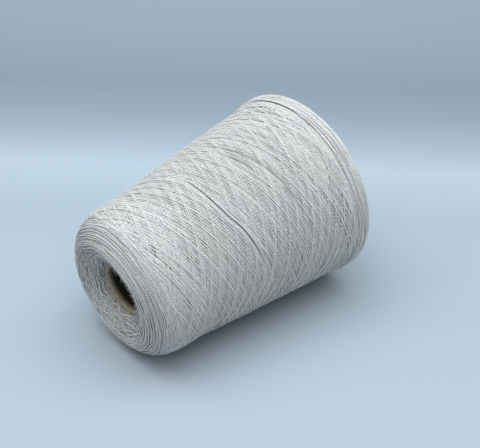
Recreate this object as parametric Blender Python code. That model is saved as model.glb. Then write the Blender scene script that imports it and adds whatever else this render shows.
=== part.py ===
"""A cone of yarn lying on its side: fine yarn, cross-wound on a conical paper core.

Units are metres, +Z is up and the floor is at z = 0. The axis of the cone runs towards +X, from its
small end to its large end, and climbs a little, because the cone rests on its two raised ends. The
origin is under the middle of the cone, on the floor.
"""

import math
from collections import namedtuple

import bmesh
import bpy
from mathutils import Matrix, Vector
from mathutils.geometry import interpolate_bezier

MM = 0.001

# The paper core: a conical tube with a rounded nose.
CORE_NOSE_RADIUS = 17.1 * MM
CORE_HALF_ANGLE = math.radians(5.95)
CORE_LENGTH = 152.0 * MM
CORE_RECESS = 8.4 * MM          # the nose lies this far behind the crest of the yarn's small end
CORE_WALL = 2.4 * MM
CORE_NOSE_BEAD = 3.2 * MM       # thickness of the rolled nose
CORE_BEAD_STEPS = 6
CORE_BEAD_RUN = 6.0 * MM        # from the nose to where the bead has run out into the wall
CORE_BASE_CHAMFER = 0.3 * MM

# The wound yarn, as places on its surface. `along` is measured on the axis from the crest of the
# small end, and `rows` is how many rows of facets lead to the next place.
Place = namedtuple("Place", "along radius rows")
YARN_FOOT_AT_NOSE = 10.0 * MM   # where the yarn leaves the core inside the small end
YARN_FOOT_AT_BASE = 147.6 * MM  # and at the large end
WOUND_SURFACE = (
    Place(6.3 * MM, 18.9 * MM, 1),      # the face slopes down towards the core as a shallow funnel
    Place(4.2 * MM, 21.0 * MM, 2),
    Place(2.5 * MM, 24.4 * MM, 2),
    Place(1.0 * MM, 28.0 * MM, 2),
    Place(0.0 * MM, 31.6 * MM, 2),      # crest of the small end
    Place(1.9 * MM, 35.6 * MM, 2),
    Place(5.6 * MM, 40.1 * MM, 2),
    Place(10.6 * MM, 43.3 * MM, 2),
    Place(16.6 * MM, 45.0 * MM, 3),     # raised small end, which rests on the floor
    Place(24.0 * MM, 45.6 * MM, 4),
    Place(33.9 * MM, 45.9 * MM, 5),
    Place(46.3 * MM, 47.5 * MM, 6),
    Place(61.1 * MM, 49.7 * MM, 8),
    Place(80.9 * MM, 51.9 * MM, 8),
    Place(100.7 * MM, 54.3 * MM, 9),
    Place(123.0 * MM, 56.7 * MM, 4),
    Place(132.3 * MM, 58.0 * MM, 3),
    Place(139.2 * MM, 59.2 * MM, 2),    # raised large end, which rests on the floor
    Place(144.4 * MM, 59.5 * MM, 2),
    Place(147.7 * MM, 57.3 * MM, 2),
    Place(149.2 * MM, 53.6 * MM, 2),
    Place(149.4 * MM, 49.7 * MM, 2),
    Place(148.3 * MM, 43.0 * MM, 2),    # dished face of the large end
)
SMALL_END_REST = Place(18.5 * MM, 45.2 * MM, 0)
LARGE_END_REST = Place(140.0 * MM, 59.3 * MM, 0)
SMALL_END_PRESSED = 0.30 * MM   # how far the floor flattens the yarn where it rests
LARGE_END_PRESSED = 0.80 * MM

# Main twists: two crossing families of wound bands, raised a little on the outer surface. A band
# comes round every BAND_STEP along the axis, which is four of the rows above, so that the bands
# cross on the points of the surface.
BANDS = 8
BAND_HEIGHT = 0.6 * MM
BAND_STEP = 9.9 * MM
BANDS_CROSS_AT = 16.6 * MM
BANDS_START = (12.0 * MM, 28.0 * MM)    # they rise to full height between these two places
BANDS_END = (130.0 * MM, 143.0 * MM)    # and die out between these
SWELL = 0.25 * MM                       # slow unevenness of the wound surface
SWELL_LENGTH = 150.0 * MM
SWELL_TURN = 0.6

SEGMENTS = 64                   # facets round the axis, the same on the yarn and the core
HALF_FACET = math.pi / SEGMENTS
CLEARANCE = 0.3 * MM            # between the yarn and the core
SMOOTH_FLOOR_ANGLE = (math.radians(14.0), math.radians(32.0))   # bands fade towards the floor
SHARP_EDGE = math.radians(40.0)


def clear_scene():
    for thing in list(bpy.data.objects):
        bpy.data.objects.remove(thing, do_unlink=True)


def plain_material(name, colour, roughness):
    material = bpy.data.materials.new(name)
    material.use_nodes = True
    shader = material.node_tree.nodes["Principled BSDF"]
    shader.inputs["Base Color"].default_value = (*colour, 1.0)
    shader.inputs["Roughness"].default_value = roughness
    shader.inputs["Metallic"].default_value = 0.0
    material.diffuse_color = (*colour, 1.0)
    return material


def core_radius(along):
    """Outer radius of the paper core at this place on the axis."""
    return CORE_NOSE_RADIUS + (along - CORE_RECESS) * math.tan(CORE_HALF_ANGLE)


def smooth_line(places):
    """Points of one smooth line through the places, with each place's own number of rows."""
    knots = [Vector((place.along, place.radius, 0.0)) for place in places]
    last = len(knots) - 1
    marks = [0.0]
    for start, end in zip(knots, knots[1:]):
        marks.append(marks[-1] + (end - start).length)
    slopes = []
    for index in range(last + 1):
        before = max(index - 1, 0)
        after = min(index + 1, last)
        slopes.append((knots[after] - knots[before]) / (marks[after] - marks[before]))
    line = []
    for index in range(last):
        third = (marks[index + 1] - marks[index]) / 3.0
        leave = knots[index] + slopes[index] * third
        arrive = knots[index + 1] - slopes[index + 1] * third
        count = places[index].rows + 1
        line += interpolate_bezier(knots[index], leave, arrive, knots[index + 1], count)[:-1]
    line.append(knots[last])
    return [(point.x, point.y) for point in line]


def yarn_outline():
    """From the foot of the yarn inside the small end, over the surface, to its foot at the base."""
    nose_foot = Place(YARN_FOOT_AT_NOSE, core_radius(YARN_FOOT_AT_NOSE) + CLEARANCE, 2)
    base_foot = Place(YARN_FOOT_AT_BASE, core_radius(YARN_FOOT_AT_BASE) + CLEARANCE, 0)
    return smooth_line((nose_foot, *WOUND_SURFACE, base_foot))


def core_outline():
    """Outside of the paper tube from base to nose, round the bead, and back inside to the base."""
    base = CORE_RECESS + CORE_LENGTH
    half_bead = CORE_NOSE_BEAD / 2.0
    bead_along = CORE_RECESS + half_bead
    bead_radius = core_radius(bead_along) - half_bead
    wall_starts = CORE_RECESS + CORE_BEAD_RUN
    points = [(base - CORE_BASE_CHAMFER, core_radius(base - CORE_BASE_CHAMFER))]
    for step in range(CORE_BEAD_STEPS + 1):
        angle = math.pi * step / CORE_BEAD_STEPS
        along = bead_along - half_bead * math.sin(angle)
        points.append((along, bead_radius + half_bead * math.cos(angle)))
    points.append((wall_starts, core_radius(wall_starts) - CORE_WALL))
    inner_base = core_radius(base) - CORE_WALL
    inner_corner = core_radius(base - CORE_BASE_CHAMFER) - CORE_WALL
    points.append((base - CORE_BASE_CHAMFER, inner_corner))
    points.append((base, inner_base + CORE_BASE_CHAMFER))
    points.append((base, core_radius(base) - CORE_BASE_CHAMFER))
    return points


def turned_mesh(outline):
    """The closed outline turned round the X axis, with the middle of a facet along the underside."""
    mesh = bmesh.new()
    across = math.sin(HALF_FACET)
    down = -math.cos(HALF_FACET)
    corners = [mesh.verts.new((along, radius * across, radius * down)) for along, radius in outline]
    for start, end in zip(corners, corners[1:] + corners[:1]):
        mesh.edges.new((start, end))
    bmesh.ops.spin(
        mesh,
        geom=mesh.verts[:] + mesh.edges[:],
        cent=(0.0, 0.0, 0.0),
        axis=(1.0, 0.0, 0.0),
        angle=math.tau,
        steps=SEGMENTS,
        use_merge=True,
    )
    bmesh.ops.recalc_face_normals(mesh, faces=mesh.faces)
    mesh.normal_update()
    return mesh


def ramp(value, start, end):
    """0 before start, 1 after end, and a soft step between."""
    share = min(max((value - start) / (end - start), 0.0), 1.0)
    return share * share * (3.0 - 2.0 * share)


def winding_relief(place, normal):
    """How far the wound surface stands out at this point, from its bands and its slow swell."""
    turn = math.atan2(place.y, -place.z)
    lead = math.tau * (place.x - BANDS_CROSS_AT) / BAND_STEP
    wound = BANDS * (turn - HALF_FACET)
    bands = max(math.cos(wound - lead), math.cos(wound + lead))
    shown = ramp(place.x, *BANDS_START) * (1.0 - ramp(place.x, *BANDS_END))
    outer_face = math.hypot(normal.y, normal.z)
    off_floor = ramp(abs(turn), *SMOOTH_FLOOR_ANGLE)
    swell = math.sin(2.0 * turn + SWELL_TURN) * math.sin(math.tau * place.x / SWELL_LENGTH)
    return off_floor * outer_face * (BAND_HEIGHT * 0.5 * bands * shown + SWELL * swell)


def raise_bands(mesh):
    """Moves the points of the outer surface along their normals; the foot on the core stays."""
    for vert in mesh.verts:
        on_surface = math.hypot(vert.co.y, vert.co.z) > core_radius(vert.co.x) + CORE_WALL
        if on_surface:
            vert.co += vert.normal * winding_relief(vert.co, vert.normal)


def press_on_floor(mesh, stance):
    """Points that would lie under the floor are brought up to it."""
    to_cone = stance.inverted()
    for vert in mesh.verts:
        spot = stance @ vert.co
        if spot.z < 0.0:
            spot.z = 0.0
            vert.co = to_cone @ spot


def resting_stance():
    """Turns the cone so that both raised ends reach a little under the floor."""
    small_radius = SMALL_END_REST.radius - SMALL_END_PRESSED
    large_radius = LARGE_END_REST.radius - LARGE_END_PRESSED
    tilt = math.atan2(large_radius - small_radius, LARGE_END_REST.along - SMALL_END_REST.along)
    height = large_radius * math.cos(tilt) - LARGE_END_REST.along * math.sin(tilt)
    return Matrix.Translation((0.0, 0.0, height)) @ Matrix.Rotation(-tilt, 4, "Y")


def make_object(name, mesh, material, holder):
    data = bpy.data.meshes.new(name)
    mesh.to_mesh(data)
    mesh.free()
    data.materials.append(material)
    data.shade_smooth()
    data.set_sharp_from_angle(angle=SHARP_EDGE)
    thing = bpy.data.objects.new(name, data)
    bpy.context.scene.collection.objects.link(thing)
    thing.parent = holder
    return thing


def centre_on_origin(holder, pieces):
    """Moves the holder so that the middle of the whole cone is over the origin."""
    spots = [holder.matrix_world @ vert.co for piece in pieces for vert in piece.data.vertices]
    middle_x = (min(spot.x for spot in spots) + max(spot.x for spot in spots)) / 2.0
    middle_y = (min(spot.y for spot in spots) + max(spot.y for spot in spots)) / 2.0
    holder.location -= Vector((middle_x, middle_y, 0.0))


def build_cone():
    clear_scene()
    holder = bpy.data.objects.new("cone_axis", None)
    bpy.context.scene.collection.objects.link(holder)
    holder.matrix_world = resting_stance()

    yarn = plain_material("undyed_yarn", (0.74, 0.73, 0.69), 0.92)
    board = plain_material("grey_brown_paperboard", (0.36, 0.31, 0.25), 0.85)

    package = turned_mesh(yarn_outline())
    raise_bands(package)
    press_on_floor(package, holder.matrix_world)
    core = turned_mesh(core_outline())

    pieces = [
        make_object("yarn_package", package, yarn, holder),
        make_object("paper_core", core, board, holder),
    ]
    centre_on_origin(holder, pieces)
    bpy.context.view_layer.update()


build_cone()
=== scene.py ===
"""Looks for a cone of fine off-white yarn, cross-wound on a paper core and lying on its side.

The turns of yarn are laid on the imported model's own wound surface: the profile below repeats its
places. Units are metres, +Z is up and the floor is at z = 0. A place on the yarn is given as its
distance along the profile (`way`), its `turn` round the axis in radians, which is 0 on the
underside and negative on the side that the camera sees, and its `height` over the wound surface.
"""

import math
from collections import namedtuple

import bmesh
import bpy
import numpy as np
from mathutils import Matrix, Vector


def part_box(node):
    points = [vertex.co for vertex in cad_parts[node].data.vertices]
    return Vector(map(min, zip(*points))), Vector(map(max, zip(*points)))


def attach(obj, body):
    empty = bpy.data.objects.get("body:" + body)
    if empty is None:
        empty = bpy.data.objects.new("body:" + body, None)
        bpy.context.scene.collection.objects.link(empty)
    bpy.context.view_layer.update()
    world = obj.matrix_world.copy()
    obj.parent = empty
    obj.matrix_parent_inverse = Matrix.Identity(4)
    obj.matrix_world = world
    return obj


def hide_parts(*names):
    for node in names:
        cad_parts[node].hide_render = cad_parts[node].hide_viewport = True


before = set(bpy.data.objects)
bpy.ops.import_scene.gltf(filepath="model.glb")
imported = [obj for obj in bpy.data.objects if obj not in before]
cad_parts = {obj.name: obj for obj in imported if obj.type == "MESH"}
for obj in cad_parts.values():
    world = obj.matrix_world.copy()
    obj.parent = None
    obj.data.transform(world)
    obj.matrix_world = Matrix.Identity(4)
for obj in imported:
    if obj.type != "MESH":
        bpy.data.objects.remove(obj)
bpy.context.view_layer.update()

MM = 0.001

# The paper core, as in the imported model.
CORE_NOSE_RADIUS = 17.1 * MM
CORE_HALF_ANGLE = math.radians(5.95)
CORE_LENGTH = 152.0 * MM
CORE_RECESS = 8.4 * MM
CORE_WALL = 2.4 * MM
CORE_NOSE_BEAD = 3.2 * MM
CORE_BEAD_RUN = 6.0 * MM
CORE_BASE_CHAMFER = 0.3 * MM
CORE_SEGMENTS = 128
CORE_BEAD_STEPS = 16
CORE_WALL_ROWS = 14
CORE_SHARP_ANGLE = math.radians(40.0)
CLEARANCE = 0.3 * MM

# Places on the wound surface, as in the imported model, from the funnel to the dished large end.
Place = namedtuple("Place", "along radius")
YARN_FOOT_AT_NOSE = 10.0 * MM
YARN_FOOT_AT_BASE = 147.6 * MM
WOUND_SURFACE = (
    Place(6.3 * MM, 18.9 * MM),
    Place(4.2 * MM, 21.0 * MM),
    Place(2.5 * MM, 24.4 * MM),
    Place(1.0 * MM, 28.0 * MM),
    Place(0.0 * MM, 31.6 * MM),
    Place(1.9 * MM, 35.6 * MM),
    Place(5.6 * MM, 40.1 * MM),
    Place(10.6 * MM, 43.3 * MM),
    Place(16.6 * MM, 45.0 * MM),
    Place(24.0 * MM, 45.6 * MM),
    Place(33.9 * MM, 45.9 * MM),
    Place(46.3 * MM, 47.5 * MM),
    Place(61.1 * MM, 49.7 * MM),
    Place(80.9 * MM, 51.9 * MM),
    Place(100.7 * MM, 54.3 * MM),
    Place(123.0 * MM, 56.7 * MM),
    Place(132.3 * MM, 58.0 * MM),
    Place(139.2 * MM, 59.2 * MM),
    Place(144.4 * MM, 59.5 * MM),
    Place(147.7 * MM, 57.3 * MM),
    Place(149.2 * MM, 53.6 * MM),
    Place(149.4 * MM, 49.7 * MM),
    Place(148.3 * MM, 43.0 * MM),
)
SMALL_END_REST = Place(18.5 * MM, 45.2 * MM)
LARGE_END_REST = Place(140.0 * MM, 59.3 * MM)
SMALL_END_PRESSED = 0.30 * MM
LARGE_END_PRESSED = 0.80 * MM
PROFILE_STEPS = 12              # steps of the profile between two places

# The yarn: two plies, wound to and fro from end to end of the cone.
YARN_RADIUS = 0.34 * MM
TWIST_LENGTH = 2.6 * MM         # one turn of the twist
MERGE_DISTANCE = 0.0001 * MM    # joins the caps of a strand to its sides
FINE_STEP = 1.0 * MM            # a wound strand's path is worked out at these steps
FACET_STEPS = 6                 # it has a point at every sixth of them, and at each near a groove
SMALL_TURN_ROUND = 10.0 * MM    # where the winding turns back, along the axis
LARGE_TURN_ROUND = 135.4 * MM
TURN_ROUND_SPREAD = 3.0 * MM    # it turns back up to this much earlier or later at the small end
RIM_SPREAD = 1.5 * MM           # and this much at the large end
SPREAD_REACH = 12.0 * MM        # from there, a strand runs back into its even place within this
TURNS_PER_TRAVERSE = 1.382      # turns round the cone on the way from one end to the other
LEAD_GROWTH = 0.88              # the lead at the large end is this many times that at the small end
TURN_ROUND_SHARE = 0.07         # share of a traverse that goes into turning back at either end
OUTWARD_LIFT = 0.10 * MM        # strands that run to the large end lie on top of those that return
FULL_SHADE_DEPTH = 2.4 * MM     # painted shade: yarn this deep under the surface is at its darkest
FLOOR_GAP = 0.1 * MM            # loose fibre ends stay this far above the floor

# The layers of wound strands, and the plain surface that shows between the lowest of them.
BED_DEPTH = 1.5 * MM
BED_SEGMENTS = 160
BED_SHARP_ANGLE = math.radians(60.0)
BED_ROWS = 3                    # it has a ring at every third step of the profile
LAYER_TRAVERSES = 120
LAYER_HEIGHTS = ((-1.6, -1.3), (-1.3, -1.0), (-1.0, -0.7), (-0.7, -0.45))       # in mm
LAYER_START = 2.1               # each starts this many radians further round than the one below
LAST_TRAVERSES = 60
LAST_HEIGHTS = (-0.40 * MM, -0.15 * MM)
LAST_START = 1.0

# Seeds of the random draws.
LAYER_SEED = 100
LAST_SEED = 200
SMALL_END_SEED = 300
LARGE_END_SEED = 400
FUZZ_SEED = 500
LIP_FUZZ_SEED = 600

# How far strands stray, as (points between new values, size): aside, up and down, and in girth.
Stray = namedtuple("Stray", "aside height swell")
WOUND_STRAY = Stray((22.0, 0.16 * MM), (9.0, 0.07 * MM), (11.0, 0.07))
EDGE_STRAY = Stray((20.0, 0.08 * MM), (9.0, 0.05 * MM), (11.0, 0.06))
ARC_STRAY = Stray((3.0, 0.07 * MM), (2.0, 0.05 * MM), (3.0, 0.07))

# Arcs of yarn round both ends.
ARC_SWELL = 1.12                # their radius, in yarn radii
ARC_STEP = 2.6 * MM             # the upper ones have a point at every such step
UNDER_STEP = 3.9 * MM           # and those below them at every such step
LEAST_POINTS = 6                # and each has this many at least
ARC_DIVE = 0.9 * MM             # they sink in this deep where they end
DIVE_START = 0.72               # from this share of the way to their ends
SMALL_END_PITCH = 1.35 * MM     # between rows of arcs that lie side by side
LARGE_END_PITCH = 0.80 * MM
SPIRAL_SPREAD = 0.1 * MM        # how much the slant of an arc varies, in each radian
ROW_SHIFT = 0.18                # an arc lies about this share of the pitch off its row
ARC_OVERLAP = 1.75              # the next one in a row starts this many half turns of it further
PLACES_TO_CHOOSE = 400          # ways across a zone where a loose arc may lie
UNDER_ARCS = 700                # on each end
CROSSING_ARCS = 260             # of each lean, where the small end's rows meet the layers
END_MARGIN = 0.4 * MM           # no strand comes nearer than this to the profile's ends

# The oldest turns, near the bore, lie loose and crumpled.
CRUMPLED_RADIUS = 34.0 * MM     # in the funnel inside this, arcs have a point at half the step
LOOSE_RADII = (26.0 * MM, 37.0 * MM)    # they are loose inside the first, and firm from the second
LOOSE_TURN = math.radians(55.0) # the side where they are most crumpled
LEAST_LOOSE = 0.18 * MM         # the size of the ripple opposite that side
MORE_LOOSE = 0.72 * MM          # and what that side adds to it
FIRM_RIPPLE = 0.08 * MM         # the ripple that all arcs have
RIPPLE_RISE = 0.3               # it also lifts them by this share of its size
RISE_OFFSET = 50.0 * MM         # read this far along, so that lift and push don't match
WAVE_LENGTH = 5.2 * MM          # of the ripple, across the profile
VALUES_PER_WAVE = 2.0
WAVE_ROWS = 64                  # rows of its values across the profile, before they repeat
WAVES_ROUND = 66                # and values in each row, round the bore

# Loose fibre ends.
HAIR_RADIUS = 0.045 * MM
LIP_HAIR_RADIUS = 0.11 * MM     # of the frayed plies at the edge of the bore
HAIR_POINTS = 4
HAIR_ROOT = 0.3 * MM            # they start this deep
HAIR_DROOP = 0.35               # they lose this share of their rise towards the tip
HAIR_SWEEPS = (0.5, 1.0)        # and lie along the yarn by such a share of their length
HAIR_CURL = 0.12                # they stray by about this share of it
HAIR_TAPER = 0.6                # the share of the radius that is gone at the tip
ALL_ROUND = (-math.pi, math.pi)
LIP_SIDE = (-3.4, -0.8)         # the turns where the edge of the bore is frayed
SLIGHT_RISES = (0.25, 0.8)
ANY_LEAN = (0.0, math.tau)
INWARD_LEAN = (-0.85 * math.pi, -0.15 * math.pi)

# Long dark grooves between strands of the last layer, as (along in mm, turn in degrees).
GROOVES = (
    ((58.2, -170.5), (60.1, -150.5), (62.4, -137.0), (65.9, -127.0), (68.5, -115.0),
     (69.8, -106.7)),
    ((85.7, -195.6), (90.0, -178.0), (93.0, -169.6), (96.5, -156.8), (100.0, -140.7),
     (101.9, -127.8), (104.4, -123.0)),
    ((86.2, -174.0), (88.9, -165.0), (90.9, -157.0)),
)
GROOVE_DEPTH = 1.0 * MM
GROOVE_WIDTH = 0.62 * MM
GROOVE_FADE_OUT = 0.12              # a groove fades from this far past its ends, in radians
GROOVE_FADE_IN = 0.15               # to this far inside them
GROOVE_EDGES = (-2.3, -1.55, -0.85, 0.85, 1.6)  # strands beside the first groove, in mm from it
EDGE_HEIGHT = -0.12 * MM
LEAST_DIP = 0.04                    # a strand that dips by this share of the depth is near a groove
EDGE_RUN_ON = 0.55                  # they run this much further round at both ends, in radians
EDGE_DIVE = 0.9 * MM                # and sink in this deep

# The camera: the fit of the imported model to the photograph.
CAMERA_AZIMUTH = math.radians(-41.61)
CAMERA_ELEVATION = math.radians(33.07)
CAMERA_DISTANCE = 0.5429
CAMERA_LOOK_AT = Vector((0.01506, -0.0010, 0.0496))
CAMERA_LENS = 67.5              # in mm, as the sensor is
SENSOR_WIDTH = 36.0

# The lamps: name, bearing in degrees from straight behind, height in degrees, and watts of each
# colour.
LAMPS = (
    ("lamp_above", 0.0, 90.0, (2.5, 3.6, 4.3)),
    ("lamp_left", -90.0, 65.0, (6.75, 6.85, 6.95)),
    ("lamp_right", 90.0, 65.0, (4.65, 4.5, 4.5)),
    ("lamp_front", 180.0, 55.0, (3.6, 3.75, 4.2)),
)
LAMP_SIZE = 0.8
LAMP_DISTANCE = 1.2
WORLD_COLOUR = (0.97, 1.01, 1.04, 1.0)
WORLD_STRENGTH = 0.38

# The floor's colour by distance behind the origin, along a line turned a little to the right. It
# paints the light and shade of a backdrop that bends up behind the cone: a bright band at the bend,
# and darker behind it.
FLOOR_REACH = 3.0
FLOOR_TURN = math.radians(3.6)
FLOOR_COLOURS = (
    (-0.35, (0.368, 0.407, 0.461)),
    (-0.10, (0.412, 0.470, 0.520)),
    (0.10, (0.384, 0.458, 0.507)),
    (0.165, (0.447, 0.528, 0.589)),
    (0.215, (0.340, 0.411, 0.470)),
    (0.26, (0.278, 0.340, 0.387)),
    (0.32, (0.251, 0.306, 0.343)),
    (0.45, (0.303, 0.374, 0.424)),
    (0.70, (0.389, 0.483, 0.564)),
)

# Colours of the yarn and the paper. Those of four numbers end in their alpha.
YARN_COLOUR = (0.905, 0.895, 0.86)
YARN_DEEP_COLOUR = (0.50, 0.455, 0.415, 1.0)    # where little light gets to it
COOL_DRIFT = (0.98, 0.99, 1.0, 1.0)
WARM_DRIFT = (1.0, 0.985, 0.965, 1.0)
# painted shade: darker, as little light gets deep between the strands
BED_COLOUR = (0.62, 0.585, 0.55)
SMALL_END_SHADE = 0.87          # painted shade: the yarn of the small end is made a little darker
FLANK_SHADE = 0.50              # painted shade: the colour is multiplied by this on the sides of a strand
PLY_SHADE = 0.52                # and by this between its plies, as painted shade
TWIST_DEPTH = 0.12 * MM         # of the plies and their fibres, for the bump
FIBRE_SCALE = 1500.0            # bits of fibre to the metre
DRIFT_SCALE = 45.0              # of the slow drift in colour
PLY_FIBRE_SCALE = 2600.0        # of the fibres that show in the bump
UNEVEN_SCALE = 330.0            # of the unevenness in the twist
UNEVEN_TWIST = 1.6              # and its size, in turns of twist
BED_ROW_SCALE = 220.0
BED_RELIEF = 0.3 * MM
PAPER_COLOUR = (0.30, 0.245, 0.185)
PAPER_DARK_FIBRE = (0.24, 0.20, 0.14, 1.0)
PAPER_PALE_FIBRE = (0.41, 0.355, 0.262, 1.0)
PAPER_SOILED = (0.265, 0.215, 0.155, 1.0)
PAPER_SEAM = (0.15, 0.115, 0.085, 1.0)
# painted shade, nearly black, inside the bore
PAPER_BORE_SHADE = (0.020, 0.015, 0.009, 1.0)
PAPER_FIBRE_SCALE = 900.0
PAPER_BLOTCH_SCALE = 90.0
PAPER_RELIEF = 0.12 * MM
PAPER_STRIP = 62.0 * MM         # width along the axis of the strip that the tube is wound from
SEAM_WIDTH = 0.018              # in strips
BORE_SHADE_DEPTH = 0.55              # painted shade: the tube's inside is darkened from this share of its wall inwards
BORE_SHADE_AT_NOSE = (1.5 * MM, 4.2 * MM)    # it sets in between these distances from the nose
BORE_SHADE_AT_BASE = (6.5 * MM, 2.2 * MM)    # and stops between these from the base


# ---- The wound surface ---------------------------------------------------------------------------

def core_radius(along):
    """Outer radius of the paper core at this place on the axis."""
    return CORE_NOSE_RADIUS + (along - CORE_RECESS) * math.tan(CORE_HALF_ANGLE)


def smooth_line(places, steps):
    """Points of one smooth line through the places, in (along, radius)."""
    knots = np.array(places)
    marks = np.concatenate(([0.0], np.cumsum(np.linalg.norm(np.diff(knots, axis=0), axis=1))))
    before = np.maximum(np.arange(len(knots)) - 1, 0)
    after = np.minimum(np.arange(len(knots)) + 1, len(knots) - 1)
    slopes = (knots[after] - knots[before]) / (marks[after] - marks[before])[:, None]
    share = (np.arange(steps) / steps)[:, None]
    line = []
    for index in range(len(knots) - 1):
        span = marks[index + 1] - marks[index]
        line.append(
            knots[index] * (1 + 2 * share) * (1 - share) ** 2
            + slopes[index] * span * share * (1 - share) ** 2
            + knots[index + 1] * share ** 2 * (3 - 2 * share)
            + slopes[index + 1] * span * share ** 2 * (share - 1)
        )
    return np.vstack(line + [knots[-1:]])


# out_along and out_radius are the direction straight out of the surface.
Profile = namedtuple("Profile", "way along radius out_along out_radius")


def wound_profile():
    """The wound surface's profile, by distance from its foot in the funnel."""
    nose_foot = Place(YARN_FOOT_AT_NOSE, core_radius(YARN_FOOT_AT_NOSE) + CLEARANCE)
    base_foot = Place(YARN_FOOT_AT_BASE, core_radius(YARN_FOOT_AT_BASE) + CLEARANCE)
    line = smooth_line((nose_foot, *WOUND_SURFACE, base_foot), PROFILE_STEPS)
    way = np.concatenate(([0.0], np.cumsum(np.linalg.norm(np.diff(line, axis=0), axis=1))))
    ahead = np.gradient(line, way, axis=0)
    ahead /= np.linalg.norm(ahead, axis=1)[:, None]
    return Profile(way, line[:, 0], line[:, 1], -ahead[:, 1], ahead[:, 0])


def resting_stance():
    """Stands the cone's own frame in the row's: tilted onto its two raised ends, and centred."""
    small_radius = SMALL_END_REST.radius - SMALL_END_PRESSED
    large_radius = LARGE_END_REST.radius - LARGE_END_PRESSED
    tilt = math.atan2(large_radius - small_radius, LARGE_END_REST.along - SMALL_END_REST.along)
    height = large_radius * math.cos(tilt) - LARGE_END_REST.along * math.sin(tilt)
    base = CORE_RECESS + CORE_LENGTH
    lowest_edge = core_radius(base) - CORE_BASE_CHAMFER
    reach = base * math.cos(tilt) + lowest_edge * math.sin(tilt)
    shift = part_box("paper_core")[1].x - reach
    return Matrix.Translation((shift, 0.0, height)) @ Matrix.Rotation(-tilt, 4, "Y")


PROFILE = wound_profile()
STANCE = resting_stance()
CREST = int(np.argmin(PROFILE.along))
RIM = int(np.argmax(PROFILE.along))


def way_at(along):
    """Distance along the profile to this place on the axis, on the outer surface."""
    return np.interp(along, PROFILE.along[CREST:RIM + 1], PROFILE.way[CREST:RIM + 1])


def along_at(way):
    return np.interp(way, PROFILE.way, PROFILE.along)


def radius_at(way):
    return np.interp(way, PROFILE.way, PROFILE.radius)


def on_surface(way, turn, height, floor_gap):
    """Points in the row frame, none of them nearer to the floor than floor_gap."""
    along = along_at(way) + height * np.interp(way, PROFILE.way, PROFILE.out_along)
    radius = radius_at(way) + height * np.interp(way, PROFILE.way, PROFILE.out_radius)
    local = np.column_stack((along, radius * np.sin(turn), -radius * np.cos(turn)))
    world = local @ np.array(STANCE.to_3x3()).T + np.array(STANCE.translation)
    world[:, 2] = np.maximum(world[:, 2], floor_gap)
    return world


def outward_at(way, turn):
    """Unit vectors that point straight out of the wound surface, in the row frame."""
    radial = np.interp(way, PROFILE.way, PROFILE.out_radius)
    axial = np.interp(way, PROFILE.way, PROFILE.out_along)
    local = np.column_stack((axial, radial * np.sin(turn), -radial * np.cos(turn)))
    return local @ np.array(STANCE.to_3x3()).T


def soft_step(value, start, end):
    """0 before start, 1 after end, and a soft step between."""
    share = np.clip((value - start) / (end - start), 0.0, 1.0)
    return share * share * (3.0 - 2.0 * share)


def wander(rng, count, apart, size):
    """Random offsets along a path of count points, with a new value every `apart` points."""
    values = rng.normal(0.0, size, int(count / apart) + 3)
    place = np.arange(count) / apart + rng.random()
    start = place.astype(int)
    share = place - start
    share = share * share * (3.0 - 2.0 * share)
    return values[start] * (1.0 - share) + values[start + 1] * share


# ---- Strands of yarn -----------------------------------------------------------------------------

Strand = namedtuple("Strand", "points outward swell depth")     # depth is 0 on top, 1 well below


def lay(way, turn, height, swell, floor_gap):
    """A strand through these places."""
    points = on_surface(way, turn, height, floor_gap)
    return Strand(points, outward_at(way, turn), swell, depth_shade(height))


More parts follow.
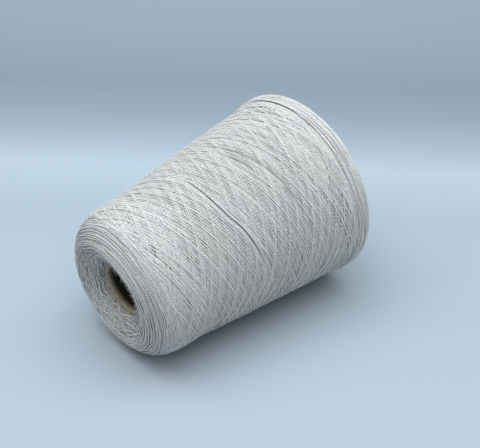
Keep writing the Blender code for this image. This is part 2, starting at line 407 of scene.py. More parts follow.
def tube_piece(name, strands, radius, roundness):
    """One mesh of closed tubes, with a UV map in turns of twist and two values for each point.

    They are depth, as in Strand, and facing, which is 1 on a strand's outer side and -1 beneath.
    """
    curve = bpy.data.curves.new(name, "CURVE")
    curve.dimensions = "3D"
    curve.bevel_depth = radius
    curve.bevel_resolution = roundness
    curve.use_fill_caps = True
    for strand in strands:
        spline = curve.splines.new("POLY")
        spline.points.add(len(strand.points) - 1)
        spline.points.foreach_set("co", np.insert(strand.points, 3, 1.0, axis=1).ravel())
        spline.points.foreach_set("radius", strand.swell)
        spline.use_smooth = True
    guide = bpy.data.objects.new(name, curve)
    bpy.context.scene.collection.objects.link(guide)
    graph = bpy.context.evaluated_depsgraph_get()
    data = bpy.data.meshes.new_from_object(guide.evaluated_get(graph))
    bpy.data.objects.remove(guide)
    bpy.data.curves.remove(curve)

    sides = 4 + 2 * roundness

    def for_each_vertex(values):
        """Each strand's values in the mesh's order: all caps from the last one back, then rings."""
        caps = [part[[-1, 0]] for part in reversed(values)]
        return np.repeat(np.concatenate(caps + values), sides, axis=0)

    spots = np.zeros(3 * len(data.vertices), np.float32)
    data.vertices.foreach_get("co", spots)
    middles = for_each_vertex([strand.points for strand in strands])
    outward = for_each_vertex([strand.outward for strand in strands])
    facing = np.sum((spots.reshape(-1, 3) - middles) * outward, axis=1) / radius
    depth = for_each_vertex([strand.depth for strand in strands])
    for label, values in (("facing", facing), ("depth", depth)):
        attribute = data.attributes.new(label, "FLOAT", "POINT")
        attribute.data.foreach_set("value", values.astype(np.float32))

    lengths = []
    for strand in strands:
        length = np.linalg.norm(np.diff(strand.points, axis=0), axis=1).sum()
        lengths.append(np.full(len(strand.points), length))
    corners = np.zeros(len(data.loops), np.int32)
    data.loops.foreach_get("vertex_index", corners)
    uv = np.zeros(2 * len(data.loops), np.float32)
    data.uv_layers[0].data.foreach_get("uv", uv)
    uv[0::2] *= for_each_vertex(lengths)[corners] / TWIST_LENGTH
    data.uv_layers[0].data.foreach_set("uv", uv)

    mesh = bmesh.new()
    mesh.from_mesh(data)
    bmesh.ops.remove_doubles(mesh, verts=mesh.verts, dist=MERGE_DISTANCE)
    mesh.to_mesh(data)
    mesh.free()
    piece = bpy.data.objects.new(name, data)
    bpy.context.scene.collection.objects.link(piece)
    return piece


def depth_shade(height):
    """0 on top, and 1 where the yarn lies so deep that little light reaches it."""
    return np.clip(-height / FULL_SHADE_DEPTH, 0.0, 1.0)


def groove_depth(along, turn):
    """How far a strand dips where it crosses one of the long grooves."""
    dip = np.zeros(len(along))
    for groove in GROOVES:
        places = np.array([place[0] * MM for place in groove])
        turns = np.radians([place[1] for place in groove])
        middle = (turns[0] + turns[-1]) / 2.0
        near = middle + (turn - middle + math.pi) % math.tau - math.pi
        apart = np.abs(along - np.interp(near, turns, places))
        faded = soft_step(near, turns[0] - GROOVE_FADE_OUT, turns[0] + GROOVE_FADE_IN)
        faded = faded * (
            1.0 - soft_step(near, turns[-1] - GROOVE_FADE_IN, turns[-1] + GROOVE_FADE_OUT)
        )
        dip = np.maximum(dip, GROOVE_DEPTH * faded * np.exp(-((apart / GROOVE_WIDTH) ** 2)))
    return dip


def traverse_share(share):
    """How far a traverse has come, from 0 to 1, slowing to a stop at both ends."""
    end = TURN_ROUND_SHARE
    early = share ** 2 / (2.0 * end * (1.0 - end))
    late = 1.0 - (1.0 - share) ** 2 / (2.0 * end * (1.0 - end))
    straight = (share - end / 2.0) / (1.0 - end)
    eased = np.where(share < end, early, np.where(share > 1.0 - end, late, straight))
    return (LEAD_GROWTH ** eased - 1.0) / (LEAD_GROWTH - 1.0)


def strand_on_surface(along, turn, height, swell, kept):
    """A strand through the kept places, and through all of them where a groove makes it dip."""
    dip = groove_depth(along, turn)
    kept = kept | (dip > LEAST_DIP * GROOVE_DEPTH)
    return lay(way_at(along[kept]), turn[kept], (height - dip)[kept], swell[kept], YARN_RADIUS)


def wind(rng, traverses, first_turn, heights):
    """One unbroken strand, wound to and fro, which rises from the first height to the second."""
    small = rng.uniform(-TURN_ROUND_SPREAD, TURN_ROUND_SPREAD, traverses + 1)
    large = rng.uniform(-RIM_SPREAD, RIM_SPREAD, traverses + 1)
    mean_radius = (SMALL_END_REST.radius + LARGE_END_REST.radius) / 2.0
    steps = int(TURNS_PER_TRAVERSE * math.tau * mean_radius / FINE_STEP)
    share = np.arange(steps) / steps
    travel = LARGE_TURN_ROUND - SMALL_TURN_ROUND
    along = []
    lift = []
    for index in range(traverses):
        outward = index % 2 == 0
        moved = travel * traverse_share(share if outward else 1.0 - share)
        from_small = np.exp(-((moved / SPREAD_REACH) ** 2))
        from_large = np.exp(-(((travel - moved) / SPREAD_REACH) ** 2))
        shift = small[(index + 1) // 2] * from_small + large[index // 2] * from_large
        along.append(SMALL_TURN_ROUND + moved + shift)
        ends = soft_step(np.minimum(share, 1.0 - share), 0.0, TURN_ROUND_SHARE)
        lift.append((OUTWARD_LIFT if outward else -OUTWARD_LIFT) * ends)
    along = np.concatenate(along)
    count = len(along)
    turn = first_turn + np.arange(count) / steps * TURNS_PER_TRAVERSE * math.tau
    along = along + wander(rng, count, *WOUND_STRAY.aside)
    height = np.linspace(*heights, count) + np.concatenate(lift)
    height = height + wander(rng, count, *WOUND_STRAY.height)
    swell = 1.0 + wander(rng, count, *WOUND_STRAY.swell)
    return strand_on_surface(along, turn, height, swell, np.arange(count) % FACET_STEPS == 0)


def groove_edge(rng, groove, side, height):
    """A strand of the last layer that runs along one edge of a groove and dives in at both ends."""
    places = np.array([place[0] * MM for place in groove])
    turns = np.radians([place[1] for place in groove])
    slope = np.polyfit(turns, places, 1)[0]
    sweep = turns[-1] - turns[0] + 2.0 * EDGE_RUN_ON
    count = int(sweep * radius_at(way_at(places[0])) / FINE_STEP)
    turn = np.linspace(turns[0] - EDGE_RUN_ON, turns[-1] + EDGE_RUN_ON, count)
    along = np.interp(turn, turns, places)
    along = along + slope * (np.minimum(turn - turns[0], 0.0) + np.maximum(turn - turns[-1], 0.0))
    along = along + side + wander(rng, count, *EDGE_STRAY.aside)
    inside = np.minimum(turn - turn[0], turn[-1] - turn)
    height = height - EDGE_DIVE * (1.0 - soft_step(inside, 0.0, EDGE_RUN_ON))
    height = height + wander(rng, count, *EDGE_STRAY.height)
    swell = 1.0 + wander(rng, count, *EDGE_STRAY.swell)
    kept = slice(None, None, FACET_STEPS // 2)
    return lay(way_at(along[kept]), turn[kept], height[kept], swell[kept], YARN_RADIUS)


class Waves:
    """How far strands on the ends are pushed aside, in waves that neighbours share."""

    def __init__(self, rng):
        self.values = rng.normal(0.0, 1.0, (WAVE_ROWS, WAVES_ROUND))

    def at(self, way, turn):
        row = np.asarray(way) / WAVE_LENGTH * VALUES_PER_WAVE
        column = np.asarray(turn) / math.tau * WAVES_ROUND
        low_row = np.floor(row).astype(int)
        low_column = np.floor(column).astype(int)
        down = soft_step(row - low_row, 0.0, 1.0)
        across = soft_step(column - low_column, 0.0, 1.0)
        next_column = (low_column + 1) % WAVES_ROUND
        low_column = low_column % WAVES_ROUND
        next_row = (low_row + 1) % WAVE_ROWS
        low_row = low_row % WAVE_ROWS
        first = self.values[low_row, low_column] * (1.0 - across)
        first = first + self.values[low_row, next_column] * across
        second = self.values[next_row, low_column] * (1.0 - across)
        second = second + self.values[next_row, next_column] * across
        return first * (1.0 - down) + second * down


def ripple_size(way, turn):
    """How far the waves push a strand aside."""
    near_bore = 1.0 - soft_step(radius_at(way), *LOOSE_RADII)
    low = 0.5 + 0.5 * np.cos(turn - LOOSE_TURN)
    return FIRM_RIPPLE + near_bore * (LEAST_LOOSE + MORE_LOOSE * low)


def end_arc(rng, waves, zone, centre, middle, half):
    """One arc round an end: a strand that comes up, turns round and dives in again."""
    crumpled = radius_at(centre) < CRUMPLED_RADIUS and centre < PROFILE.way[CREST + 1]
    step = zone.step * (0.5 if crumpled else 1.0)
    points = max(int(2.0 * half * radius_at(centre) / step), LEAST_POINTS)
    offset = np.linspace(-half, half, points)
    turn = middle + offset
    way = centre + rng.normal(zone.spiral, 0.5 * abs(zone.spiral) + SPIRAL_SPREAD) * offset
    ripple = zone.ripple * ripple_size(way, turn)
    way = way + ripple * waves.at(way, turn) + wander(rng, points, *ARC_STRAY.aside)
    height = rng.uniform(*zone.heights)
    height = height + RIPPLE_RISE * ripple * waves.at(way + RISE_OFFSET, turn)
    height = height - ARC_DIVE * soft_step(np.abs(offset) / half, DIVE_START, 1.0)
    height = height + wander(rng, points, *ARC_STRAY.height)
    way = np.clip(way, END_MARGIN, PROFILE.way[-1] - END_MARGIN)
    return lay(way, turn, height, ARC_SWELL + wander(rng, points, *ARC_STRAY.swell), YARN_RADIUS)


def arc_rows(rng, waves, zone, pitch):
    """Arcs side by side in rows round an end, which meet end to end."""
    strands = []
    for centre in np.arange(*zone.ways, pitch):
        turn = rng.uniform(*ALL_ROUND)
        end = turn + math.tau
        while turn < end:
            half = rng.uniform(*zone.half_turn)
            shifted = centre + rng.normal(0.0, ROW_SHIFT * pitch)
            strands.append(end_arc(rng, waves, zone, shifted, turn + half, half))
            turn += ARC_OVERLAP * half
    return strands


def loose_arcs(rng, waves, zone, count):
    """Arcs anywhere in the zone, as many to each area."""
    candidates = np.linspace(*zone.ways, PLACES_TO_CHOOSE)
    weights = radius_at(candidates)
    strands = []
    for centre in rng.choice(candidates, count, p=weights / weights.sum()):
        half = rng.uniform(*zone.half_turn)
        strands.append(end_arc(rng, waves, zone, centre, rng.uniform(*ALL_ROUND), half))
    return strands


def fuzz_hairs(rng, zone):
    """Loose fibre ends in the zone, with the root of each under the surface."""
    hairs = []
    for _ in range(zone.count):
        way = rng.uniform(*zone.ways)
        turn = rng.uniform(*zone.turns_round)
        length = rng.uniform(*zone.lengths)
        lean = rng.uniform(*zone.leans)
        share = np.linspace(0.0, 1.0, HAIR_POINTS)
        rise = rng.uniform(*zone.rises) * length * (share - HAIR_DROOP * share ** 2)
        sweep = length * share * rng.uniform(*HAIR_SWEEPS)
        sweep = sweep + rng.normal(0.0, HAIR_CURL * length, HAIR_POINTS) * share
        turns = turn + sweep * math.cos(lean) / radius_at(way)
        ways_out = np.clip(way + sweep * math.sin(lean), 0.0, PROFILE.way[-1])
        swell = 1.0 - HAIR_TAPER * share
        hairs.append(lay(ways_out, turns, rise - HAIR_ROOT, swell, FLOOR_GAP))
    return hairs


# ---- Where arcs and fibre ends lie ---------------------------------------------------------------

# ways, half_turn and heights are ranges, spiral is how far along the profile an arc runs in each
# radian, ripple multiplies the ripple, and step is the distance between its points.
ArcZone = namedtuple("ArcZone", "ways half_turn spiral ripple heights step")

SMALL_END_UNDER = ArcZone(
    ways=(0.8 * MM, way_at(14.0 * MM)),
    half_turn=(0.3, 0.8),
    spiral=0.0,
    ripple=1.0,
    heights=(-1.3 * MM, -0.8 * MM),
    step=UNDER_STEP,
)
UPPER_ROWS = ArcZone(
    ways=(0.9 * MM, way_at(12.0 * MM)),
    half_turn=(0.35, 0.85),
    spiral=0.5 * MM,
    ripple=1.0,
    heights=(-0.30 * MM, -0.04 * MM),
    step=ARC_STEP,
)
ROWS_BETWEEN = UPPER_ROWS._replace(
    ways=(0.9 * MM + 0.5 * SMALL_END_PITCH, way_at(12.0 * MM)),
    heights=(-0.95 * MM, -0.60 * MM),
)
CROSSING = ArcZone(
    ways=(way_at(9.0 * MM), way_at(36.0 * MM)),
    half_turn=(0.2, 0.4),
    spiral=13.0 * MM,
    ripple=0.0,
    heights=(-0.95 * MM, -0.5 * MM),
    step=UNDER_STEP,
)
LARGE_END_UNDER = SMALL_END_UNDER._replace(
    ways=(way_at(133.0 * MM), PROFILE.way[-1] - 0.8 * MM),
    ripple=0.6,
)
LARGE_END_ROWS = ArcZone(
    ways=(way_at(137.9 * MM), PROFILE.way[-1] - 0.8 * MM),
    half_turn=(0.3, 0.7),
    spiral=0.35 * MM,
    ripple=0.5,
    heights=(-0.36 * MM, -0.24 * MM),
    step=ARC_STEP,
)

# A fibre end stands off the yarn by its rise, a share of its length. A lean of 0 is round the cone,
# and a lean of a quarter turn is along the profile towards the large end.
HairZone = namedtuple("HairZone", "count turns_round ways lengths rises leans")

SMALL_END_FUZZ = HairZone(
    count=420,
    turns_round=ALL_ROUND,
    ways=(0.5 * MM, PROFILE.way[CREST] + 4.0 * MM),
    lengths=(1.0 * MM, 2.6 * MM),
    rises=SLIGHT_RISES,
    leans=ANY_LEAN,
)
OUTER_FUZZ = SMALL_END_FUZZ._replace(
    count=1900,
    ways=(PROFILE.way[CREST], PROFILE.way[-1]),
    lengths=(1.5 * MM, 3.6 * MM),
)
LIP_FUZZ = HairZone(
    count=420,
    turns_round=LIP_SIDE,
    ways=(4.5 * MM, 9.0 * MM),
    lengths=(1.6 * MM, 4.4 * MM),
    rises=(0.6, 1.3),
    leans=INWARD_LEAN,
)


# ---- Turned pieces -------------------------------------------------------------------------------

def turned_piece(name, outline, segments, sharp_angle):
    """The closed outline turned round the cone's axis, as a piece in its place on the floor."""
    mesh = bmesh.new()
    corners = [mesh.verts.new((along, 0.0, -radius)) for along, radius in outline]
    for start, end in zip(corners, corners[1:] + corners[:1]):
        mesh.edges.new((start, end))
    bmesh.ops.spin(
        mesh,
        geom=mesh.verts[:] + mesh.edges[:],
        cent=(0.0, 0.0, 0.0),
        axis=(1.0, 0.0, 0.0),
        angle=math.tau,
        steps=segments,
        use_merge=True,
    )
    bmesh.ops.recalc_face_normals(mesh, faces=mesh.faces)
    bmesh.ops.transform(mesh, matrix=STANCE, verts=mesh.verts)
    for vert in mesh.verts:
        vert.co.z = max(vert.co.z, 0.0)
    data = bpy.data.meshes.new(name)
    mesh.to_mesh(data)
    mesh.free()
    data.shade_smooth()
    data.set_sharp_from_angle(angle=sharp_angle)
    piece = bpy.data.objects.new(name, data)
    bpy.context.scene.collection.objects.link(piece)
    return piece


def bed_outline(depth):
    """The yarn below the strands that are laid one by one."""
    rows = slice(None, None, BED_ROWS)
    along = PROFILE.along - depth * PROFILE.out_along
    radius = PROFILE.radius - depth * PROFILE.out_radius
    lowest = np.array([core_radius(place) + CLEARANCE for place in along])
    return np.column_stack((along, np.maximum(radius, lowest)))[rows]


def core_outline():
    """Outside of the paper tube from base to nose, round the bead, and back inside to the base."""
    base = CORE_RECESS + CORE_LENGTH
    half_bead = CORE_NOSE_BEAD / 2.0
    bead_along = CORE_RECESS + half_bead
    bead_radius = core_radius(bead_along) - half_bead
    points = []
    for along in np.linspace(base - CORE_BASE_CHAMFER, bead_along + half_bead, CORE_WALL_ROWS):
        points.append((along, core_radius(along)))
    for step in range(CORE_BEAD_STEPS + 1):
        angle = math.pi * step / CORE_BEAD_STEPS
        along = bead_along - half_bead * math.sin(angle)
        points.append((along, bead_radius + half_bead * math.cos(angle)))
    for along in np.linspace(CORE_RECESS + CORE_BEAD_RUN, base - CORE_BASE_CHAMFER, CORE_WALL_ROWS):
        points.append((along, core_radius(along) - CORE_WALL))
    points.append((base, core_radius(base) - CORE_WALL + CORE_BASE_CHAMFER))
    points.append((base, core_radius(base) - CORE_BASE_CHAMFER))
    return points


# ---- Materials -----------------------------------------------------------------------------------

class Nodes:
    """Short ways to add nodes to one tree."""

    def __init__(self, tree):
        self.tree = tree

    def add(self, kind, **settings):
        node = self.tree.nodes.new(kind)
        for name, value in settings.items():
            setattr(node, name, value)
        return node

    def feed(self, node, **inputs):
        """Sets or links inputs, each by its name with _ for a space, or by n and its number."""
        for name, value in inputs.items():
            numbered = name[0] == "n" and name[1:].isdigit()
            key = int(name[1:]) if numbered else name.replace("_", " ")
            socket = node.inputs[key]
            if isinstance(value, bpy.types.NodeSocket):
                self.tree.links.new(value, socket)
            else:
                socket.default_value = value
        return node

    def maths(self, operation, *values):
        node = self.add("ShaderNodeMath", operation=operation)
        self.feed(node, **{f"n{index}": value for index, value in enumerate(values)})
        return node.outputs[0]

    def mix(self, share, first, second, blend="MIX"):
        node = self.add("ShaderNodeMix", data_type="RGBA", blend_type=blend)
        self.feed(node, n0=share, n6=first, n7=second)
        return node.outputs[2]

    def noise(self, vector, scale, detail=2.0, roughness=0.5):
        node = self.add("ShaderNodeTexNoise")
        self.feed(node, Vector=vector, Scale=scale, Detail=detail, Roughness=roughness)
        return node.outputs["Fac"]

    def remap(self, value, low, high, to_low, to_high):
        node = self.add("ShaderNodeMapRange")
        self.feed(node, n0=value, n1=low, n2=high, n3=to_low, n4=to_high)
        return node.outputs[0]


def new_group(name, inputs, outputs):
    """An empty shader node group with these named sockets."""
    tree = bpy.data.node_groups.new(name, "ShaderNodeTree")
    for socket, kind in inputs:
        tree.interface.new_socket(socket, in_out="INPUT", socket_type=kind)
    for socket, kind in outputs:
        tree.interface.new_socket(socket, in_out="OUTPUT", socket_type=kind)
    nodes = Nodes(tree)
    return tree, nodes, nodes.add("NodeGroupInput").outputs, nodes.add("NodeGroupOutput")


def fibre_tone_group():
    """Colour of yarn: a slow drift from cool to warm, fine fibre, and painted shade that makes it
    browner low down.
    """
    tree, nodes, given, result = new_group(
        "fibre tone",
        [
            ("Position", "NodeSocketVector"),
            ("Colour", "NodeSocketColor"),
            ("Deep Colour", "NodeSocketColor"),
            ("Depth", "NodeSocketFloat"),
            ("Shade", "NodeSocketFloat"),
            ("Fibre Scale", "NodeSocketFloat"),
        ],
        [("Colour", "NodeSocketColor")],
    )
    drift = nodes.noise(given["Position"], DRIFT_SCALE, 2.0)
    drifted = nodes.remap(drift, 0.3, 0.7, 0.0, 1.0)
    warm = nodes.mix(drifted, COOL_DRIFT, WARM_DRIFT)
    fibre = nodes.noise(given["Position"], given["Fibre Scale"], 3.0, 0.6)
    lit = nodes.remap(fibre, 0.25, 0.75, 0.88, 1.06)
    toned = nodes.mix(1.0, given["Colour"], warm, "MULTIPLY")
    fibrous = nodes.mix(1.0, toned, lit, "MULTIPLY")
    sunk = nodes.mix(given["Depth"], fibrous, given["Deep Colour"])
    final = nodes.mix(1.0, sunk, given["Shade"], "MULTIPLY")
    tree.links.new(final, result.inputs["Colour"])
    return tree


def ply_twist_group():
    """Two plies twisted together, from a map in turns of twist and shares of the girth."""
    tree, nodes, given, result = new_group(
        "ply twist",
        [("Map", "NodeSocketVector"), ("Position", "NodeSocketVector")],
        [("Height", "NodeSocketFloat"), ("Ridge", "NodeSocketFloat")],
    )
    parts = nodes.add("ShaderNodeSeparateXYZ")
    nodes.feed(parts, Vector=given["Map"])
    uneven = nodes.noise(given["Position"], UNEVEN_SCALE, 1.0)
    phase = nodes.maths("ADD", parts.outputs["X"], parts.outputs["Y"])
    phase = nodes.maths("MULTIPLY_ADD", uneven, UNEVEN_TWIST, phase)
    angle = nodes.maths("MULTIPLY", phase, math.tau * 2.0)
    ridge = nodes.maths("MULTIPLY_ADD", nodes.maths("SINE", angle), 0.5, 0.5)
    fibre = nodes.noise(given["Position"], PLY_FIBRE_SCALE, 2.0)
    height = nodes.maths("MULTIPLY_ADD", fibre, 0.5, ridge)
    tree.links.new(height, result.inputs["Height"])
    tree.links.new(ridge, result.inputs["Ridge"])
    return tree


def new_material(name, colour, roughness):
    """A material of this roughness, with the helper for its nodes and its shader."""
    material = bpy.data.materials.new(name)
    material.use_nodes = True
    material.diffuse_color = (*colour, 1.0)
    shader = material.node_tree.nodes["Principled BSDF"]
    shader.inputs["Roughness"].default_value = roughness
    return material, Nodes(material.node_tree), shader


def yarn_material(name, tone_group, twist_group, shade):
    """Matt two-ply yarn, with painted shade on the sides of strands, between plies and deep down.
    shade multiplies its colour.
    """
    colour = tuple(shade * part for part in YARN_COLOUR)
    material, nodes, shader = new_material(name, colour, 0.85)
    place = nodes.add("ShaderNodeTexCoord")
    depth = nodes.add("ShaderNodeAttribute", attribute_name="depth")
    facing = nodes.add("ShaderNodeAttribute", attribute_name="facing")
    twist = nodes.add("ShaderNodeGroup", node_tree=twist_group)
    nodes.feed(twist, Map=place.outputs["UV"], Position=place.outputs["Object"])
    # painted shade on the sides of each strand and between its plies
    flank = nodes.remap(facing.outputs["Fac"], -0.4, 0.9, FLANK_SHADE, 1.0)
    between_plies = nodes.remap(twist.outputs["Ridge"], 0.0, 0.7, PLY_SHADE, 1.0)
    tone = nodes.add("ShaderNodeGroup", node_tree=tone_group)
    nodes.feed(
        tone,
        Position=place.outputs["Object"],
        Colour=(*colour, 1.0),
        Deep_Colour=YARN_DEEP_COLOUR,
        Depth=nodes.maths("MULTIPLY", depth.outputs["Fac"], 0.75),
        Shade=nodes.maths("MULTIPLY", flank, between_plies),
        Fibre_Scale=FIBRE_SCALE,
    )
    bump = nodes.add("ShaderNodeBump")
    nodes.feed(bump, Height=twist.outputs["Height"], Distance=TWIST_DEPTH, Strength=0.7)
    nodes.feed(shader, Base_Color=tone.outputs["Colour"], Normal=bump.outputs["Normal"])
    shader.inputs["Specular IOR Level"].default_value = 0.25
    shader.inputs["Sheen Weight"].default_value = 0.12
    shader.inputs["Sheen Roughness"].default_value = 0.5
    return material


def bed_material(tone_group):
    """The yarn deep between the strands: crossing turns, dark because little light gets there."""
    material, nodes, shader = new_material("deep_yarn", BED_COLOUR, 0.95)
    place = nodes.add("ShaderNodeTexCoord")
    tone = nodes.add("ShaderNodeGroup", node_tree=tone_group)
    rows = nodes.add("ShaderNodeTexWave", wave_type="BANDS", bands_direction="DIAGONAL")
    nodes.feed(
        rows, Vector=place.outputs["Object"], Scale=BED_ROW_SCALE, Distortion=1.5, Detail=2.0
    )
    nodes.feed(
        tone,
        Position=place.outputs["Object"],
        Colour=(*BED_COLOUR, 1.0),
        Deep_Colour=YARN_DEEP_COLOUR,
        Depth=nodes.maths("MULTIPLY", rows.outputs["Fac"], 0.6),
        Shade=1.0,
        Fibre_Scale=FIBRE_SCALE,
    )
    bump = nodes.add("ShaderNodeBump")
    nodes.feed(bump, Height=rows.outputs["Fac"], Distance=BED_RELIEF, Strength=0.8)
    nodes.feed(shader, Base_Color=tone.outputs["Colour"], Normal=bump.outputs["Normal"])
    shader.inputs["Specular IOR Level"].default_value = 0.2
    return material


def paper_material():
    """Grey-brown paperboard, wound from a strip on the slant, stained, with painted shade darkening
    the inside of the bore.
    """
    material, nodes, shader = new_material("paperboard_tube", PAPER_COLOUR, 0.8)
    place = nodes.add("ShaderNodeTexCoord")
    own = nodes.add("ShaderNodeMapping", vector_type="TEXTURE")
    nodes.feed(
        own,
        Vector=place.outputs["Object"],
        Location=tuple(STANCE.translation),
        Rotation=tuple(STANCE.to_euler()),
    )
    parts = nodes.add("ShaderNodeSeparateXYZ")
    nodes.feed(parts, Vector=own.outputs["Vector"])
    turn = nodes.maths("ARCTAN2", parts.outputs["Y"], parts.outputs["Z"])
    strips = nodes.maths("MULTIPLY", parts.outputs["X"], 1.0 / PAPER_STRIP)
    winding = nodes.maths("FRACT", nodes.maths("MULTIPLY_ADD", turn, 1.0 / math.tau, strips))
    seam = nodes.remap(nodes.maths("PINGPONG", winding, 0.5), 0.0, SEAM_WIDTH, 0.0, 1.0)
    fibres = nodes.noise(own.outputs["Vector"], PAPER_FIBRE_SCALE, 4.0, 0.65)
    blotches = nodes.noise(own.outputs["Vector"], PAPER_BLOTCH_SCALE, 2.0)
    pale = nodes.remap(fibres, 0.3, 0.7, 0.0, 1.0)
    stained = nodes.remap(blotches, 0.4, 0.75, 0.0, 0.5)
    fibrous = nodes.mix(pale, PAPER_DARK_FIBRE, PAPER_PALE_FIBRE)
    blotched = nodes.mix(stained, fibrous, PAPER_SOILED)
    seamed = nodes.mix(seam, PAPER_SEAM, blotched)

    # painted shade inside the bore, which sets in a little way from the nose and stops short of the
    # base
    squares = nodes.maths("ADD", *(nodes.maths("POWER", parts.outputs[axis], 2.0) for axis in "YZ"))
    wall = core_radius(0.0) - BORE_SHADE_DEPTH * CORE_WALL
    slope = math.tan(CORE_HALF_ANGLE)
    middle = nodes.maths("MULTIPLY_ADD", parts.outputs["X"], slope, wall)
    inside = nodes.maths("LESS_THAN", nodes.maths("SQRT", squares), middle)
    near, far = (CORE_RECESS + distance for distance in BORE_SHADE_AT_NOSE)
    from_nose = nodes.remap(parts.outputs["X"], near, far, 0.0, 1.0)
    near, far = (CORE_RECESS + CORE_LENGTH - distance for distance in BORE_SHADE_AT_BASE)
    from_base = nodes.remap(parts.outputs["X"], near, far, 1.0, 0.0)
    bore_shade = nodes.maths("MULTIPLY", inside, nodes.maths("MULTIPLY", from_nose, from_base))
    final = nodes.mix(bore_shade, seamed, PAPER_BORE_SHADE)
    heights = nodes.maths("MULTIPLY_ADD", fibres, 0.4, seam)
    bump = nodes.add("ShaderNodeBump")
    nodes.feed(bump, Height=heights, Distance=PAPER_RELIEF, Strength=0.7)
    nodes.feed(
        shader,
        Base_Color=final,
        Roughness=nodes.remap(blotches, 0.3, 0.7, 0.72, 0.9),
        Normal=bump.outputs["Normal"],
    )
    shader.inputs["Specular IOR Level"].default_value = 0.3
    return material


# ---- The scene -----------------------------------------------------------------------------------

def finish_piece(piece, material, slot, *nodes_replaced):
    """Gives a piece its material and its body, and hides the nodes that it stands for; slot is not
    used.
    """
    piece.data.materials.clear()
    piece.data.materials.append(material)
    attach(piece, "root")
    if nodes_replaced:
        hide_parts(*nodes_replaced)


def yarn_piece(name, strands, material, roundness, radius=YARN_RADIUS):
    finish_piece(tube_piece(name, strands, radius, roundness), material, "yarn")


def build_layers(laid):
    """The wound layers, each one unbroken strand, and the last with strands along a groove."""
    for index, (low, high) in enumerate(LAYER_HEIGHTS):
        rng = np.random.default_rng(LAYER_SEED + index)
        turns = wind(rng, LAYER_TRAVERSES, LAYER_START * index, (low * MM, high * MM))
        yarn_piece(f"yarn_layer_{index + 1}", [turns], laid, min(index, 1))

    rng = np.random.default_rng(LAST_SEED)
    top = [wind(rng, LAST_TRAVERSES, LAST_START, LAST_HEIGHTS)]
    for side in GROOVE_EDGES:
        top.append(groove_edge(rng, GROOVES[0], side * MM, EDGE_HEIGHT))
    yarn_piece("yarn_last_layer", top, laid, 1)


def build_ends(laid, small_end):
    """The arcs round both ends, whose ripples share one set of waves."""
    rng = np.random.default_rng(SMALL_END_SEED)
    waves = Waves(rng)
    under = loose_arcs(rng, waves, SMALL_END_UNDER, UNDER_ARCS)
    yarn_piece("yarn_small_end_under", under, small_end, 0)
    face = []
    for rows in (UPPER_ROWS, ROWS_BETWEEN):
        face += arc_rows(rng, waves, rows, SMALL_END_PITCH)
    for spiral in (-CROSSING.spiral, CROSSING.spiral):
        face += loose_arcs(rng, waves, CROSSING._replace(spiral=spiral), CROSSING_ARCS)
    yarn_piece("yarn_small_end", face, small_end, 1)

    rng = np.random.default_rng(LARGE_END_SEED)
    under = loose_arcs(rng, waves, LARGE_END_UNDER, UNDER_ARCS)
    yarn_piece("yarn_large_end_under", under, laid, 0)
    rows = arc_rows(rng, waves, LARGE_END_ROWS, LARGE_END_PITCH)
    yarn_piece("yarn_large_end", rows, laid, 1)


def build_fuzz(laid):
    """Fibre ends all over the yarn, and frayed plies at the edge of the bore."""
    rng = np.random.default_rng(FUZZ_SEED)
    hairs = fuzz_hairs(rng, SMALL_END_FUZZ) + fuzz_hairs(rng, OUTER_FUZZ)
    yarn_piece("yarn_fuzz", hairs, laid, 0, HAIR_RADIUS)
    fringe = fuzz_hairs(np.random.default_rng(LIP_FUZZ_SEED), LIP_FUZZ)
    yarn_piece("yarn_lip_fuzz", fringe, laid, 0, LIP_HAIR_RADIUS)


def build_yarn():
    tone = fibre_tone_group()
    twist = ply_twist_group()
    laid = yarn_material("yarn_laid", tone, twist, 1.0)
    small_end = yarn_material("yarn_small_end", tone, twist, SMALL_END_SHADE)
    bed = turned_piece("yarn_bed", bed_outline(BED_DEPTH), BED_SEGMENTS, BED_SHARP_ANGLE)
    finish_piece(bed, bed_material(tone), "yarn", "yarn_package")
    build_layers(laid)
    build_ends(laid, small_end)
    build_fuzz(laid)


def build_core():
    core = turned_piece("paper_core_tube", core_outline(), CORE_SEGMENTS, CORE_SHARP_ANGLE)
    finish_piece(core, paper_material(), "paperboard", "paper_core")


def view_direction():
    """Unit vector from the object to the camera."""
    level = math.cos(CAMERA_ELEVATION)
    return Vector((
        math.sin(CAMERA_AZIMUTH) * level,
        -math.cos(CAMERA_AZIMUTH) * level,
        math.sin(CAMERA_ELEVATION),
    ))


def level_directions():
    """The level directions away from the camera and to its right."""
    back = view_direction()
    behind = Vector((-back.x, -back.y, 0.0)).normalized()
    return behind, Vector((behind.y, -behind.x, 0.0))


def add_camera():
    camera = bpy.data.objects.new("camera", bpy.data.cameras.new("camera"))
    camera.data.lens = CAMERA_LENS
    camera.data.sensor_width = SENSOR_WIDTH
    back = view_direction()
    camera.location = CAMERA_LOOK_AT + CAMERA_DISTANCE * back
    camera.rotation_euler = (-back).to_track_quat("-Z", "Y").to_euler()
    bpy.context.scene.collection.objects.link(camera)
    bpy.context.scene.camera = camera


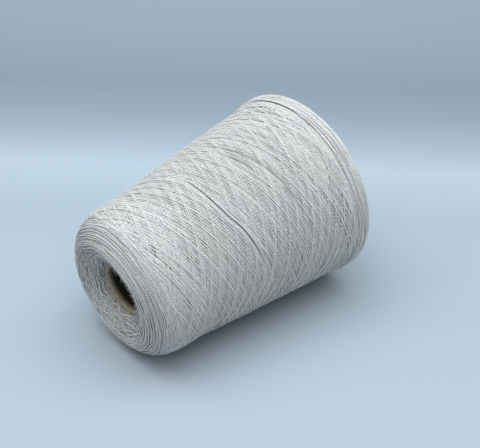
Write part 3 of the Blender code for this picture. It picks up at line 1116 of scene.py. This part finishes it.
def add_floor():
    """A wide pale blue floor that turns a darker blue some way behind the cone, in painted light
    and shade of a backdrop that bends up there.
    """
    mesh = bmesh.new()
    bmesh.ops.create_grid(mesh, x_segments=2, y_segments=2, size=FLOOR_REACH)
    data = bpy.data.meshes.new("floor")
    mesh.to_mesh(data)
    mesh.free()
    floor = bpy.data.objects.new("floor", data)
    bpy.context.scene.collection.objects.link(floor)
    material, nodes, shader = new_material("pale_floor", FLOOR_COLOURS[0][1], 0.9)
    place = nodes.add("ShaderNodeTexCoord")
    behind = Matrix.Rotation(-FLOOR_TURN, 3, "Z") @ level_directions()[0]
    reach = nodes.add("ShaderNodeVectorMath", operation="DOT_PRODUCT")
    nodes.feed(reach, n0=place.outputs["Object"], n1=tuple(behind))
    near, far = FLOOR_COLOURS[0][0], FLOOR_COLOURS[-1][0]
    ramp = nodes.add("ShaderNodeValToRGB")
    for index, (distance, colour) in enumerate(FLOOR_COLOURS):
        position = (distance - near) / (far - near)
        stops = ramp.color_ramp.elements
        stop = stops[index] if index < 2 else stops.new(position)
        stop.position = position
        stop.color = (*colour, 1.0)
    nodes.feed(ramp, Fac=nodes.remap(reach.outputs["Value"], near, far, 0.0, 1.0))
    nodes.feed(shader, Base_Color=ramp.outputs["Color"])
    shader.inputs["Specular IOR Level"].default_value = 0.2
    data.materials.append(material)


def add_lights():
    """Broad soft lamps overhead, all aimed at the cone."""
    behind, right = level_directions()
    for name, azimuth, elevation, power in LAMPS:
        bearing = behind * math.cos(math.radians(azimuth)) + right * math.sin(math.radians(azimuth))
        climb = math.radians(elevation)
        toward = bearing * math.cos(climb) + Vector((0.0, 0.0, math.sin(climb)))
        data = bpy.data.lights.new(name, "AREA")
        data.shape = "SQUARE"
        data.size = LAMP_SIZE
        data.energy = max(power)
        data.color = [part / max(power) for part in power]
        lamp = bpy.data.objects.new(name, data)
        lamp.location = CAMERA_LOOK_AT + LAMP_DISTANCE * toward
        lamp.rotation_euler = (-toward).to_track_quat("-Z", "Y").to_euler()
        bpy.context.scene.collection.objects.link(lamp)

    world = bpy.data.worlds.new("studio")
    world.use_nodes = True
    background = world.node_tree.nodes["Background"]
    background.inputs["Color"].default_value = WORLD_COLOUR
    background.inputs["Strength"].default_value = WORLD_STRENGTH
    bpy.context.scene.world = world
    bpy.context.scene.view_settings.view_transform = "Standard"


build_core()
build_yarn()
add_floor()
add_lights()
add_camera()
